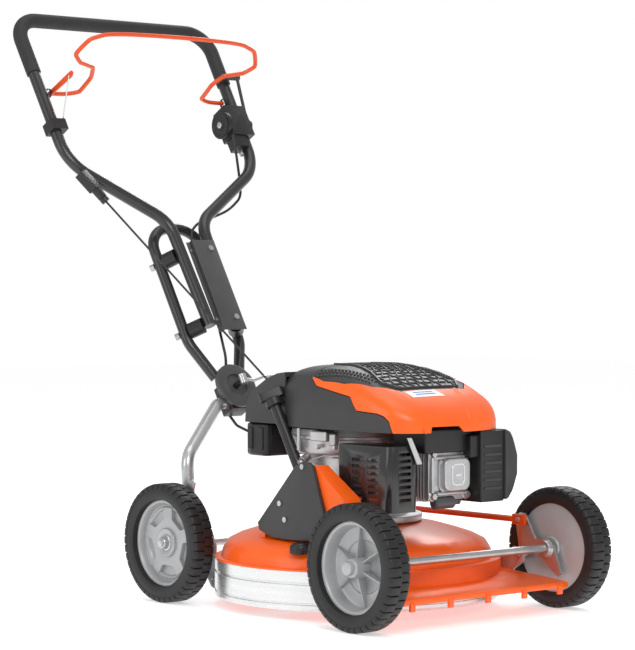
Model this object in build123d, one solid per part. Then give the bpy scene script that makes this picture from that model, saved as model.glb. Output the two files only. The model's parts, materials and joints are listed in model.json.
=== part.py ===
from build123d import *
import math
import os

# Walk-behind rotary lawn mower, in millimetres.
# X runs across the machine, Y runs from the front axle (0) to the handle, Z runs up from the ground.
# Everything is designed from a point on the ground under the front axle, and is moved
# forward by FRAME_SHIFT when it is written, so that the origin ends up under the middle.
FRAME_SHIFT = 435.2

# ---- wheels and their carriages ----
WHEEL_R = 102.5
RIM_R = 74.0
WHEEL_OUT = 251.0
WHEEL_IN = 209.0
WHEELBASE = 487.0
AXLE_Z = WHEEL_R
AXLE_R = 6.75
HUB_CLEARANCE = 0.05
PIVOT_BACK = 50.0
PIVOT_DROP = 13.0
PIVOT_Z = AXLE_Z - PIVOT_DROP
CRANK_X = 198.0
CRANK_T = 5.0
PIN_R = 6.0
PIN_CLEARANCE = 0.05
BRACKET_X = 185.0
BRACKET_T = 4.0
REAR_EAR_X = 156.5
LEG_X = 172.0
LINK_Y = 58.0
LINK_Z = 147.0
LINK_X = 192.0
LINK_PIN_R = 4.0

# ---- deck ----
BLADE_Y = 258.0
RING_R = 243.0
RING_WALL = 9.0
RING_BOTTOM = 17.5
RING_TOP = 81.0
FLANGE_T = 3.5
WALL = 3.0
DECK_TOP = 146.0
BLADE_HALF = 226.0
APRON_FRONT = -60.0
APRON_HALF = 187.0
APRON_NECK = 181.0
FINGER_PITCH = 84.0

# ---- engine ----
SHAFT_R = 12.5
HOOD_HALF = 128.0
HOOD_BOTTOM = 309.0
HOOD_WALL = 3.0
TANK_BOTTOM = 251.0
TANK_TOP = 308.0

# ---- handle ----
LEAN = 30.86
JOINT_Y = 589.0
JOINT_Z = 360.0
TUBE_R = 11.0
GRIP_R = 13.5
UPPER_W = 29.4
MID_W = -10.0
MID_R = 10.0
BUFFER_R = 14.5
CROSSBAR_Y = 588.0
CROSSBAR_Z = 331.0
FRAME_TUBE_R = 11.0
DISC_R = 42.5
BAIL_R = 4.0
DIAL_R = 27.0
BAIL_V = 608.0
BAIL_W = 28.0
CABLE_R = 2.5
ROPE_R = 1.9
PULL_ROPE_R = 1.2

os.makedirs("parts", exist_ok=True)

handle_plane = Plane(
    origin=(0, JOINT_Y, JOINT_Z),
    x_dir=(1, 0, 0),
    z_dir=(0, -math.cos(math.radians(LEAN)), math.sin(math.radians(LEAN))),
)


def write(name, *solids):
    """Write one node: its solids, moved from the axle frame to the machine's own frame."""
    pieces = []
    for shape in solids:
        pieces += list(shape.solids())
    moved = [Location((0, -FRAME_SHIFT, 0)) * piece for piece in pieces]
    shape = moved[0] if len(moved) == 1 else Compound(children=moved)
    shape.label = name
    export_step(shape, f"parts/{name}.step")


def on_handle(u, v, w=0.0):
    """A point given across, up along and out in front of the handle's own plane."""
    return handle_plane.from_local_coords(Vector(u, v, w))


def tube(points, radii, radius, bore=0.0):
    """A round tube or rod along straight runs joined by tangent arcs."""
    if len(points) > 2:
        path = FilletPolyline(*points, radius=radii)
    else:
        path = Line(*points)
    start = Plane(origin=path @ 0, z_dir=path % 0)
    section = start * Circle(radius)
    if bore:
        section = section - start * Circle(bore)
    return sweep(section, path=path)


def rod(start, end, radius, bore=0.0):
    """A straight round rod, with a hole along it if bore is given."""
    axis = Vector(*end) - Vector(*start)
    at = Plane(origin=start, z_dir=axis)
    section = at * Circle(radius)
    if bore:
        section = section - at * Circle(bore)
    return extrude(section, amount=axis.length)


def corner_radii(points):
    """For each corner, 0.45 of its shorter run over the tangent of half its turn, kept sensible."""
    radii = []
    for before, here, after in zip(points, points[1:], points[2:]):
        one, two = Vector(*here) - Vector(*before), Vector(*after) - Vector(*here)
        half_turn = math.radians(one.get_angle(two) / 2)
        radii.append(0.45 * min(one.length, two.length) / math.tan(half_turn))
    return radii


def plate_x(outline, x_low, x_high, holes=()):
    """A plate whose outline is given as (y, z) points, from x_low to x_high."""
    face = Plane.YZ.offset(x_low) * Polygon(*outline, align=None)
    plate = extrude(face, amount=x_high - x_low, dir=(1, 0, 0))
    for y, z, radius in holes:
        plate -= rod((x_low - 1, y, z), (x_high + 1, y, z), radius)
    return plate


def slab_y(outline, y_low, y_high):
    """A solid whose outline is given as (x, z) points, from y_low to y_high."""
    face = Plane.XZ.offset(-y_low) * Polygon(*outline, align=None)
    return extrude(face, amount=y_high - y_low, dir=(0, 1, 0))


def block(x_low, x_high, y_low, y_high, z_low, z_high):
    """A rectangular block between two corners."""
    size = (x_high - x_low, y_high - y_low, z_high - z_low)
    centre = ((x_low + x_high) / 2, (y_low + y_high) / 2, (z_low + z_high) / 2)
    return Location(centre) * Box(*size)


def drum(x, y, z_low, z_high, radius, bore=0.0):
    """An upright cylinder or ring."""
    return rod((x, y, z_low), (x, y, z_high), radius, bore)


def spin_z(profile, x, y):
    """A solid of revolution about an upright axis, from (radius, z) points."""
    face = Plane.XZ * Polygon(*profile, align=None)
    return Location((x, y, 0)) * revolve(face, axis=Axis.Z)


def spin_x(profile, y, z):
    """A solid of revolution about an axis along X, from (x, radius) points."""
    face = Plane.XY * Polygon(*profile, align=None)
    return Location((0, y, z)) * revolve(face, axis=Axis.X)


# ---------------------------------------------------------------- wheels

def tyre(side, y):
    """A solid rubber tyre with rounded shoulders and tread grooves round it."""
    inner, outer = side * WHEEL_IN, side * WHEEL_OUT
    middle = (inner + outer) / 2
    half = (WHEEL_OUT - WHEEL_IN) / 2
    profile = [
        (middle - half, RIM_R + 1), (middle - half, WHEEL_R - 6), (middle - half + 5, WHEEL_R),
        (middle - 1.5, WHEEL_R), (middle - 1.5, WHEEL_R - 3), (middle + 1.5, WHEEL_R - 3),
        (middle + 1.5, WHEEL_R), (middle + half - 5, WHEEL_R), (middle + half, WHEEL_R - 6),
        (middle + half, RIM_R + 1),
    ]
    return spin_x(profile, y, AXLE_Z)


def rim(side, y, hub_out, dish):
    """A moulded rim: a bead seat, a dished web and a hub with a running bore."""
    bore = AXLE_R + HUB_CLEARANCE
    hub_in = WHEEL_IN - 1.5
    seat = RIM_R + 0.9
    web = WHEEL_OUT - dish
    profile = [
        (hub_in, bore), (hub_in, 17), (web - 5, 17), (web - 5, 60), (WHEEL_IN + 4, 66),
        (WHEEL_IN + 4, seat), (WHEEL_OUT - 10, seat), (WHEEL_OUT - 10, 66), (web, 60),
        (web, 17), (hub_out, 15), (hub_out, bore),
    ]
    return spin_x([(side * x, r) for x, r in profile], y, AXLE_Z)


wheels = {
    "front_right": (-1, 0.0), "front_left": (1, 0.0),
    "rear_right": (-1, WHEELBASE), "rear_left": (1, WHEELBASE),
}
for wheel_name, (wheel_side, wheel_y) in wheels.items():
    is_front = wheel_y == 0.0
    write(f"tyre_{wheel_name}", tyre(wheel_side, wheel_y))
    write(f"rim_{wheel_name}", rim(wheel_side, wheel_y, 249.5, 32.0 if is_front else 22.0))


# ---------------------------------------------------------------- height carriages

def crank_plate(side, axle_y, link_arm):
    """A steel crank that carries one wheel, with an arm up to the height link if asked."""
    pivot_y = axle_y + PIVOT_BACK
    if link_arm:
        outline = [
            (axle_y - 34, 62), (axle_y - 24, 56), (axle_y + 14, 88), (pivot_y + 12, 78),
            (pivot_y + 22, LINK_Z - 2), (pivot_y + 14, LINK_Z + 11), (pivot_y + 2, LINK_Z + 11),
            (axle_y + 26, 116), (axle_y + 4, 118), (axle_y - 14, 108),
        ]
    else:
        outline = [
            (axle_y - 14, 92), (axle_y - 4, 88), (pivot_y, 75), (pivot_y + 14, 84),
            (pivot_y + 14, 100), (pivot_y, 106), (axle_y + 4, 118), (axle_y - 12, 112),
        ]
    low, high = sorted((side * CRANK_X, side * (CRANK_X + CRANK_T)))
    return plate_x(outline, low, high)


def front_axle():
    """The through axle with its two cranks and their pivot pins, welded into one piece."""
    axle = rod((-248.5, 0, AXLE_Z), (248.5, 0, AXLE_Z), AXLE_R)
    body = axle
    for side in (-1, 1):
        body += crank_plate(side, 0.0, side == 1)
        pin_start = (side * (BRACKET_X - BRACKET_T - 3), PIVOT_BACK, PIVOT_Z)
        pin_end = (side * (CRANK_X + CRANK_T), PIVOT_BACK, PIVOT_Z)
        body += rod(pin_start, pin_end, PIN_R)
        collar = [(side * 190, AXLE_R - 1), (side * 190, 13), (side * CRANK_X, 16), (side * CRANK_X, AXLE_R - 1)]
        body += spin_x(collar, 0, AXLE_Z)
    link_pin_start = (LINK_X - 6, LINK_Y, LINK_Z)
    body += rod(link_pin_start, (CRANK_X + 1, LINK_Y, LINK_Z), LINK_PIN_R)
    return body


def rear_axle():
    """The cross shaft that turns both rear cranks, with a stub axle on each crank."""
    pivot_y = WHEELBASE + PIVOT_BACK
    body = rod((-CRANK_X - CRANK_T, pivot_y, PIVOT_Z), (CRANK_X + CRANK_T, pivot_y, PIVOT_Z), AXLE_R)
    for side in (-1, 1):
        body += crank_plate(side, WHEELBASE, side == 1)
        body += rod((side * CRANK_X, WHEELBASE, AXLE_Z), (side * 248.5, WHEELBASE, AXLE_Z), AXLE_R)
    rear_link_y = WHEELBASE + LINK_Y
    body += rod((LINK_X - 6, rear_link_y, LINK_Z), (CRANK_X + 1, rear_link_y, LINK_Z), LINK_PIN_R)
    return body


def height_link():
    """The orange rod that ties the front crank to the rear one, with a flat eye at each end."""
    rear_y = WHEELBASE + LINK_Y
    bar = rod((LINK_X, LINK_Y + 14, LINK_Z), (LINK_X, rear_y - 14, LINK_Z), 5.3)
    front_hole = LINK_PIN_R + PIN_CLEARANCE
    rear_hole = LINK_PIN_R + 1.0
    for eye_y, hole in ((LINK_Y, front_hole), (rear_y, rear_hole)):
        eye = block(LINK_X - 2.5, LINK_X + 2.5, eye_y - 15, eye_y + 15, LINK_Z - 9, LINK_Z + 9)
        bar += eye
        bar -= rod((LINK_X - 20, eye_y, LINK_Z), (LINK_X + 20, eye_y, LINK_Z), hole)
    return bar


def height_lever():
    """The hand lever on the right rear crank, standing up beside the wheel."""
    pivot_y = WHEELBASE + PIVOT_BACK
    low = -(CRANK_X + CRANK_T + 3.2)
    outline = [
        (pivot_y + 12, PIVOT_Z - 6), (pivot_y + 12, PIVOT_Z + 14), (478, 168), (468, 204),
        (452, 212), (444, 206), (462, 156), (pivot_y - 12, PIVOT_Z - 6),
    ]
    return plate_x(outline, low, low + 3.2)


write("front_axle", front_axle())
write("rear_axle", rear_axle())
write("height_link", height_link())
write("height_lever", height_lever())


# ---------------------------------------------------------------- deck

dome_outside = [
    (0, 60), (0, DECK_TOP), (100, DECK_TOP), (142, 138.5), (177, 129), (202, 121),
    (220, 112), (229, 98), (232.5, RING_TOP + FLANGE_T), (RING_R, RING_TOP + FLANGE_T),
    (RING_R, RING_TOP), (RING_R - RING_WALL - 0.5, RING_TOP), (RING_R - RING_WALL - 0.5, 60),
]
dome_inside = [
    (0, 59), (0, DECK_TOP - WALL), (99, DECK_TOP - WALL), (141, 135.5), (176, 126),
    (200, 118), (217, 109.5), (226, 97), (229.5, RING_TOP), (229.5, 59),
]


def deck_shell():
    """The domed deck, its front apron with a comb of fingers, and the shaft's opening."""
    solid = spin_z(dome_outside, 0, BLADE_Y)
    front_wall = drum(0, BLADE_Y, 48, RING_TOP + FLANGE_T, RING_R + 3.6, RING_R + 0.4)
    front_wall &= block(-APRON_NECK, APRON_NECK, -20, 100, 40, 100)
    apron_side = [
        (APRON_FRONT, 43), (APRON_FRONT + 3, 43), (APRON_FRONT + 4, 49), (104, 63), (104, 66),
        (APRON_FRONT + 1, 52), (APRON_FRONT, 50),
    ]
    apron = plate_x(apron_side, -APRON_HALF, APRON_HALF)
    apron -= drum(0, BLADE_Y, 30, 100, RING_R + 2)
    for side in (-1, 1):
        low, high = sorted((side * APRON_NECK, side * (APRON_HALF + 10)))
        apron -= block(low, high, 22, 120, 30, 100)
    for index in range(-2, 3):
        x = index * FINGER_PITCH
        apron += block(x - 5, x + 5, APRON_FRONT - 2, APRON_FRONT + 3, 33, 47)
    shell = solid + front_wall + apron
    flange_tie = drum(0, BLADE_Y, RING_TOP, RING_TOP + FLANGE_T, RING_R + 1, RING_R - 3)
    shell += flange_tie & block(-APRON_NECK, APRON_NECK, -20, 100, 40, 100)
    shell -= spin_z(dome_inside, 0, BLADE_Y)
    shell -= drum(0, BLADE_Y, DECK_TOP - 10, DECK_TOP + 10, 40)
    return shell


def deck_ring():
    """The aluminium ring round the cutting chamber, with two grooves turned in it."""
    out, inn = RING_R, RING_R - RING_WALL
    profile = [
        (inn, RING_BOTTOM), (out - 2, RING_BOTTOM), (out, RING_BOTTOM + 4), (out, 26.5),
        (out - 2.5, 27.5), (out - 2.5, 29.5), (out, 30.5), (out, 59), (out - 2.5, 60),
        (out - 2.5, 62.5), (out, 63.5), (out, RING_TOP), (inn, RING_TOP),
    ]
    return spin_z(profile, 0, BLADE_Y)


def side_tower():
    """The triangular casting on the right of the deck, with the belt cover's opening."""
    flank = [(288, 100), (288, 150), (196, 250), (150, 252), (82, 202), (78, 190), (128, 122), (128, 100)]
    front = [
        (-188, 100), (-188, 252), (-160, 252), (-148, 182), (-118, 154), (-118, 100),
    ]
    solid = plate_x(flank, -188, -100)
    solid &= slab_y(front, 0, 400) - block(-150, -90, 0, 148, 90, 260)
    hollow = plate_x([(278, 124), (278, 150), (190, 240), (160, 240), (140, 180), (140, 124)], -189, -164)
    solid -= hollow
    dome = spin_z(dome_outside[:10] + [(RING_R, 60)], 0, BLADE_Y)
    return solid - dome - Location((0, 0, 0.02)) * dome


def side_cover():
    """The dark cover plate over the tower's outer side."""
    outline = [
        (288, 150), (284, 138), (252, 128), (218, 127), (140, 129), (124, 136), (122, 178),
        (150, 252), (160, 257), (174, 258), (192, 250),
    ]
    plate = plate_x(outline, -196, -188.2)
    rim_cut = plate_x([(276, 149), (250, 137), (140, 139), (134, 178), (158, 246), (176, 247)], -190.5, -188.2)
    return plate - rim_cut


def axle_brackets():
    """Four steel ears on the deck that hold the crank pivots."""
    ears = []
    front = [
        (95, 24), (95, 80), (62, 102), (44, 102), (37, 92), (37, 78), (62, 62), (84, 30),
    ]
    rear = [
        (445, 20), (458, 24), (484, 64), (545, 77), (551, 90), (546, 103), (520, 150),
        (486, 150), (456, 118), (445, 96),
    ]
    hole = PIN_R + PIN_CLEARANCE
    shaft_hole = AXLE_R + PIN_CLEARANCE
    for side in (-1, 1):
        low, high = sorted((side * (BRACKET_X - BRACKET_T + 0.5), side * (BRACKET_X + 0.5)))
        ears.append(plate_x(front, low, high, [(PIVOT_BACK, PIVOT_Z, hole)]))
        low, high = sorted((side * REAR_EAR_X, side * (REAR_EAR_X + BRACKET_T)))
        ears.append(plate_x(rear, low, high, [(WHEELBASE + PIVOT_BACK, PIVOT_Z, shaft_hole)]))
    return ears


def deck_screws():
    """The screws of the side cover and the bolts that hold the brackets to the ring."""
    screws = []
    for y, z in ((172, 250), (229, 186), (216, 160)):
        screws.append(rod((-199, y, z), (-196, y, z), 4.5))
    for side in (-1, 1):
        screws.append(rod((side * 189.5, 84, 66), (side * 185.7, 84, 66), 5.5))
        screws.append(rod((side * 164.5, 456, 40), (side * 160.7, 456, 40), 5.5))
    return screws


def lower_frame():
    """The bent silver tube from the rear brackets up to the handle joint."""
    points = []
    for side in (-1, 1):
        leg = [(side * LEG_X, 500, 118), (side * LEG_X, 509, 246), (side * 40, CROSSBAR_Y, CROSSBAR_Z)]
        points += leg if side == -1 else leg[::-1]
    return tube(points, [38, 26, 26, 38], FRAME_TUBE_R)


write("deck_shell", deck_shell())
write("deck_ring", deck_ring())
write("side_tower", side_tower())
write("side_cover", side_cover())
write("axle_brackets", *axle_brackets())
write("deck_screws", *deck_screws())
write("lower_frame", lower_frame())


ROPE_GUIDE = on_handle(-193, 357, 60)
ROPE_TURN = on_handle(0, 0, 72)
rope_run = ROPE_TURN - ROPE_GUIDE
rope_dir = rope_run.normalized()
ROPE_EXIT = ROPE_TURN + rope_dir * 52
ROPE_END = [(6, 462, 364), (3, 391, 364)]
GRIP_TRAVEL = 330.0


# ---------------------------------------------------------------- engine

def crankcase():
    """The grey crankcase: a round foot on the deck, the case and the finned barrel."""
    body = drum(0, BLADE_Y, DECK_TOP, DECK_TOP + 11, 112)
    body += drum(0, BLADE_Y, DECK_TOP + 11, 262, 88)
    body += block(-34, 34, 62, BLADE_Y, 196, 258)
    for index in range(6):
        fin_y = 70 + index * 14
        body += block(-46, 46, fin_y, fin_y + 4, 190, 262)
    return body - drum(0, BLADE_Y, 120, 300, SHAFT_R + PIN_CLEARANCE)


def cylinder_head():
    """The finned head bolted on the front of the barrel."""
    head = block(-46, 44, 32, 40, 194, 277)
    head += block(-40, 40, 40, 61.9, 196, 272)
    for index in range(3):
        fin_y = 43 + index * 7
        head += block(-46, 44, fin_y, fin_y + 3, 192, 278)
    return head


def valve_cover():
    """The rounded silver cover on the head."""
    cover = block(-22, 36, 14, 31.9, 209, 263)
    return fillet(cover.edges().filter_by(Axis.Y), 12)


def head_bolts():
    """Four bolts round the valve cover."""
    bolts = []
    for x in (-38, 38):
        for z in (201, 270):
            bolts.append(rod((x, 24, z), (x, 31.9, z), 5.5))
    return bolts


def muffler():
    """The silencer can behind its guard."""
    can = block(-131, -88, 34, 134, 196, 274)
    return fillet(can.edges().filter_by(Axis.Y), 10)


def muffler_guard():
    """A black sheet guard round the silencer, slotted on its side and its front."""
    outside = block(-142, -79, 18, 144, 180, 287)
    outside = fillet(outside.edges().filter_by(Axis.Z).sort_by(Axis.Y)[:2], 14)
    inside = block(-139.5, -80, 20.5, 145, 178, 284.5)
    inside = fillet(inside.edges().filter_by(Axis.Z).sort_by(Axis.Y)[:2], 11)
    guard = outside - inside
    for row in range(8):
        z = 198 + row * 10.5
        guard -= block(-124, -98, 10, 24, z, z + 5)
        if row < 7:
            guard -= block(-146, -136, 50, 74, z, z + 5)
            guard -= block(-146, -136, 88, 112, z, z + 5)
    return guard


def carburettor():
    """The carburettor between the head and the air filter."""
    body = block(50, 84, 58, 96, 206, 258)
    body += rod((67, 77, 196), (67, 77, 270), 15)
    return body


def filter_base():
    """The black box that the air filter's cover clips on to."""
    return block(47, 101, 4, 57.5, 188, 306)


def filter_cover():
    """The dark cover of the air filter, with bevelled corners."""
    front = [
        (101.2, 190), (108, 192), (126, 214), (133, 232), (133, 264), (126, 284), (112, 303),
        (101.2, 308),
    ]
    cover = slab_y(front, 0, 80)
    return chamfer(cover.edges().group_by(Axis.Y)[0].sort_by(Axis.X)[-3:], 5)


def fuel_tank():
    """The black fuel tank behind the engine on the right, with its filler neck."""
    tank = block(-106, 62, 373, 440, TANK_BOTTOM, TANK_TOP)
    tank = fillet(tank.edges().filter_by(Axis.Z), 24)
    tank = fillet(tank.faces().sort_by(Axis.Z)[0].edges(), 9)
    return tank + drum(34, 412, TANK_TOP - 2, 329, 17)


def fuel_cap():
    """The filler cap, with a finger rib across it."""
    cap = drum(34, 412, 329.3, 345, 22)
    return cap + block(15, 53, 408, 416, 345, 352)


def blower_housing():
    """The cast housing round the flywheel, open at the top."""
    ring = drum(0, BLADE_Y, 266, 303, 112, 106)
    floor = drum(0, BLADE_Y, 262.2, 266, 112, 24)
    return ring + floor


def hood_outline(inset, low, high):
    """The hood's plan shape as an upright solid, inset from its outer wall."""
    half = HOOD_HALF - inset
    front = 2 + inset
    outline = [
        (half, 250), (half * 0.92, 292), (half * 0.72, 336 - inset), (half * 0.45, 370 - inset),
        (half * 0.16, 388 - inset), (-half * 0.16, 388 - inset), (-half * 0.45, 370 - inset),
        (-half * 0.72, 336 - inset), (-half * 0.92, 292), (-half, 250), (-half, 120), (-half * 0.94, 44 + inset),
        (-half * 0.62, 6 + inset), (0, front), (half * 0.62, 6 + inset), (half * 0.94, 44 + inset), (half, 120),
    ]
    face = Plane.XY.offset(low) * Polygon(*outline, align=None)
    return extrude(face, amount=high - low, dir=(0, 0, 1))


def hood_solid(inset):
    """The engine hood as a closed form: its plan shape cut to its side profile."""
    base = HOOD_BOTTOM - 30
    side = [
        (-10, base), (-10, 330 - inset), (26, 352 - inset), (80, 376 - inset), (150, 402 - inset),
        (210, 411 - inset), (300, 411 - inset), (350, 402 - inset), (400, 384 - inset), (400, base),
    ]
    half = HOOD_HALF - inset
    across = [
        (-half, base), (-half, 372 - inset), (inset - 96, 396 - inset), (-50, 411 - inset),
        (50, 411 - inset), (96 - inset, 396 - inset), (half, 372 - inset), (half, base),
    ]
    low = base if inset else HOOD_BOTTOM
    body = hood_outline(inset, low, 420)
    return body & plate_x(side, -140, 140) & slab_y(across, -20, 420)


def hood():
    """The hood split into the dark cowl, the orange shroud and the vent grille."""
    shell = hood_solid(0) - hood_solid(HOOD_WALL)
    grille_space = block(-58, 58, 84, 190, 360, 420)
    shroud_side = [(-20, 290), (-20, 420), (84, 420), (84, 372), (46, 300), (46, 290)]
    shroud_space = plate_x(shroud_side, -150, 150)
    grille = shell & grille_space
    for row in range(5):
        for column in range(7):
            x = -45 + column * 15
            y = 96 + row * 19
            grille -= block(x - 4, x + 4, y - 6, y + 6, 350, 420)
    shroud = shell & shroud_space
    cowl = shell - shroud_space - grille_space
    cap_side = [
        (340, 309), (425, 309), (421, 345), (404, 364), (366, 386), (330, 396), (330, 309),
    ]
    tank_cap = plate_x(cap_side, -110, -6)
    tank_cap = chamfer(tank_cap.edges().filter_by(Axis.Z).sort_by(Axis.Y)[-1], 9)
    cap_hollow = [(320, 300), (421, 300), (417, 343), (401, 361), (364, 382), (320, 392)]
    tank_cap -= plate_x(cap_hollow, -106.5, -9.5)
    cowl += tank_cap - hood_solid(0)
    return cowl + rope_eye(), shroud, grille


def rope_eye():
    """The wire arm behind the tank cover with the eye that turns the starter rope."""
    middle = ROPE_EXIT - rope_dir * 9
    eye = rod(tuple(middle - rope_dir * 3), tuple(middle + rope_dir * 3), 6, ROPE_R + 0.3)
    arm = rod((-14, 419, 345), (middle.X - 5, middle.Y - 1, middle.Z - 1), 2.5)
    return eye + (arm - rod(tuple(middle - rope_dir * 8), tuple(middle + rope_dir * 8), 4))


def dipstick_line(along):
    """A point on the dipstick tube's axis, from the crankcase (0) to the cap (1)."""
    start, end = Vector(-113, 243, 178), Vector(-126, 324, 340)
    return start + (end - start) * along


def dipstick_tube():
    """The oil filler tube that leans out beside the tank."""
    return rod(tuple(dipstick_line(0.06)), tuple(dipstick_line(1)), 9.5, 7.0)


def dipstick():
    """The filler cap with its T handle and the dipstick blade in the tube."""
    cap = rod(tuple(dipstick_line(1.002)), tuple(dipstick_line(1.09)), 14)
    top = Plane(origin=tuple(dipstick_line(1.09)), x_dir=(0.6, 0.8, -0.32), z_dir=dipstick_line(1) - dipstick_line(0))
    cap += extrude(top * RectangleRounded(42, 15, 6), amount=12)
    return cap + rod(tuple(dipstick_line(0.4)), tuple(dipstick_line(1.01)), 2.5)


cowl_part, shroud_part, grille_part = hood()
write("crankcase", crankcase())
write("cylinder_head", cylinder_head())
write("valve_cover", valve_cover())
write("head_bolts", *head_bolts())
write("muffler", muffler())
write("muffler_guard", muffler_guard())
write("carburettor", carburettor())
write("filter_base", filter_base())
write("filter_cover", filter_cover())
write("fuel_tank", fuel_tank())
write("fuel_cap", fuel_cap())
write("blower_housing", blower_housing())
write("engine_cowl", cowl_part)
write("engine_shroud", shroud_part)
write("vent_grille", grille_part)
write("dipstick_tube", dipstick_tube())
write("dipstick", dipstick())


# ---------------------------------------------------------------- turning parts

def crankshaft():
    """The upright crankshaft with its counterweight's place kept as a plain shaft."""
    return drum(0, BLADE_Y, 44, 330, SHAFT_R)


def flywheel():
    """The flywheel with cooling blades on its rim."""
    wheel = drum(0, BLADE_Y, 308, 326, 94, SHAFT_R)
    for index in range(12):
        vane = Location((0, BLADE_Y, 0), (0, 0, index * 30)) * block(64, 92, -2, 2, 326, 342)
        wheel += vane
    return wheel


def blade_holder():
    """The hub that carries the blade on the shaft's lower end."""
    hub = drum(0, BLADE_Y, 32, 64, 24, SHAFT_R) + drum(0, BLADE_Y, 32, 38, 45, SHAFT_R)
    return hub


def blade():
    """A long blade with cutting edges and lifted tips."""
    bar = Location((0, BLADE_Y, 30.3)) * Box(2 * BLADE_HALF, 52, 3)
    bar += block(168, BLADE_HALF - 2, BLADE_Y - 26, BLADE_Y - 23, 31.8, 44)
    bar += block(2 - BLADE_HALF, -168, BLADE_Y + 23, BLADE_Y + 26, 31.8, 44)
    return bar - drum(0, BLADE_Y, 20, 40, 6)


def blade_bolt():
    """The bolt that clamps the blade to its holder."""
    head = drum(0, BLADE_Y, 21, 28.7, 12)
    return head + drum(0, BLADE_Y, 28.7, 43.8, 5.9)


write("crankshaft", crankshaft())
write("flywheel", flywheel())
write("blade_holder", blade_holder())
write("blade", blade())
write("blade_bolt", blade_bolt())


# ---------------------------------------------------------------- handle joint

def local_block(u_low, u_high, v_low, v_high, w_low, w_high):
    """A rectangular block given in the handle's own directions."""
    return handle_plane.location * block(u_low, u_high, v_low, v_high, w_low, w_high)


def local_rod(start, end, radius, bore=0.0):
    """A straight rod between two points given in the handle's own directions."""
    return rod(tuple(on_handle(*start)), tuple(on_handle(*end)), radius, bore)


def joint_block():
    """The clamp that turns on the frame's crossbar, and the pivot bolt through the disc."""
    crossbar = rod((-60, CROSSBAR_Y, CROSSBAR_Z), (60, CROSSBAR_Y, CROSSBAR_Z), FRAME_TUBE_R + 0.06)
    body = local_block(-21, 21, -43, 12, -32, -0.3) - crossbar
    return body + local_rod((0, 0, -1), (0, 0, 21), 5)


def handle_disc():
    """The dished disc that the handle swings on."""
    disc = local_rod((0, 0, 0), (0, 0, 9), DISC_R)
    disc -= local_rod((0, 0, 4), (0, 0, 10), 22)
    return disc - local_rod((0, 0, -1), (0, 0, 10), 5.06)


def cam_lever():
    """The clamp's cam barrel and its hand lever."""
    nut = local_rod((0, -9, 29), (0, 9, 29), 7.5)
    lever = tube(
        [tuple(on_handle(4, 0, 29)), tuple(on_handle(24, -3, 28)), tuple(on_handle(50, 4, 28)),
         tuple(on_handle(112, 4, 30))],
        [12, 16], 3.2)
    return nut + lever


write("joint_block", joint_block())
write("handle_disc", handle_disc())
write("cam_lever", cam_lever())


# ---------------------------------------------------------------- handle

MID_ARCH = 342.0
BUFFER_V = (264.0, 118.0)
LEG_U = 31.0
LEG_END_V = 111.0
NECK_U = 38.0
NECK_V = 332.4
SHOULDER_U = 220.5
SHOULDER_V = 456.9
TOP_U = 226.5
TOP_V = 771.8
MID_U = 60.0
GRIP_START_V = 650.0


def lower_leg_u(v):
    """How far the upper handle's open leg stands from the middle, at a height up the handle."""
    return LEG_U + (v - LEG_END_V) / (NECK_V - LEG_END_V) * (NECK_U - LEG_U)


def side_leg_u(v):
    """How far the upper handle's side stands from the middle, at a height up the handle."""
    return SHOULDER_U + (v - SHOULDER_V) / (TOP_V - SHOULDER_V) * (TOP_U - SHOULDER_U)


def handle_tube(points, radii, radius, w):
    """A tube bent in a plane parallel to the handle's, from (u, v) points of its right half."""
    right = [tuple(on_handle(-u, v, w)) for u, v in points]
    left = [tuple(on_handle(u, v, w)) for u, v in reversed(points)]
    return tube(right + left, radii + radii[::-1], radius)


def mid_frame():
    """The black loop behind the upper handle."""
    points = [(27, 24), (MID_U, 98), (MID_U, MID_ARCH)]
    return handle_tube(points, [60, 52], MID_R, MID_W)


def upper_handle():
    """The upper handle: open leg ends, two bends a side and the top bar."""
    points = [(LEG_U, LEG_END_V), (NECK_U, NECK_V), (SHOULDER_U, SHOULDER_V), (TOP_U, TOP_V)]
    return handle_tube(points, [60, 85, 48], TUBE_R, UPPER_W)


def foam_grip():
    """The soft sleeve over the top bar and down both sides."""
    path_points = [(side_leg_u(GRIP_START_V), GRIP_START_V), (TOP_U, TOP_V)]
    right = [tuple(on_handle(-u, v, UPPER_W)) for u, v in path_points]
    left = [tuple(on_handle(u, v, UPPER_W)) for u, v in reversed(path_points)]
    return tube(right + left, [48, 48], GRIP_R, TUBE_R + 0.05)


def buffer_line(side, v, from_leg, from_loop):
    """Two points on a buffer's axis, which runs from the loop's tube to the upper leg's tube.

    from_leg is how far the line stops short of the leg's axis, and from_loop is how far from
    the loop's axis it starts, both along the line."""
    loop = Vector(side * MID_U, v, MID_W)
    leg = Vector(side * lower_leg_u(v), v, UPPER_W)
    along = (leg - loop).normalized()
    return tuple(loop + along * from_loop), tuple(leg - along * from_leg)


def buffers():
    """Four rubber buffers between the loop and the upper handle's legs."""
    pieces = []
    for side in (-1, 1):
        for v in BUFFER_V:
            start, end = buffer_line(side, v, TUBE_R + 0.3, MID_R + 0.3)
            pieces.append(local_rod(start, end, BUFFER_R))
    tubes = mid_frame() + upper_handle()
    return [piece - tubes for piece in pieces]


def handle_plate():
    """The grey channel screwed across the upper handle's legs."""
    plate = local_block(-10, 40, 96, 286, 41, 43)
    plate += local_block(-12, -10, 96, 286, 32, 43)
    return plate + local_block(-18.5, -10, 96, 286, 32, 34)


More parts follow.
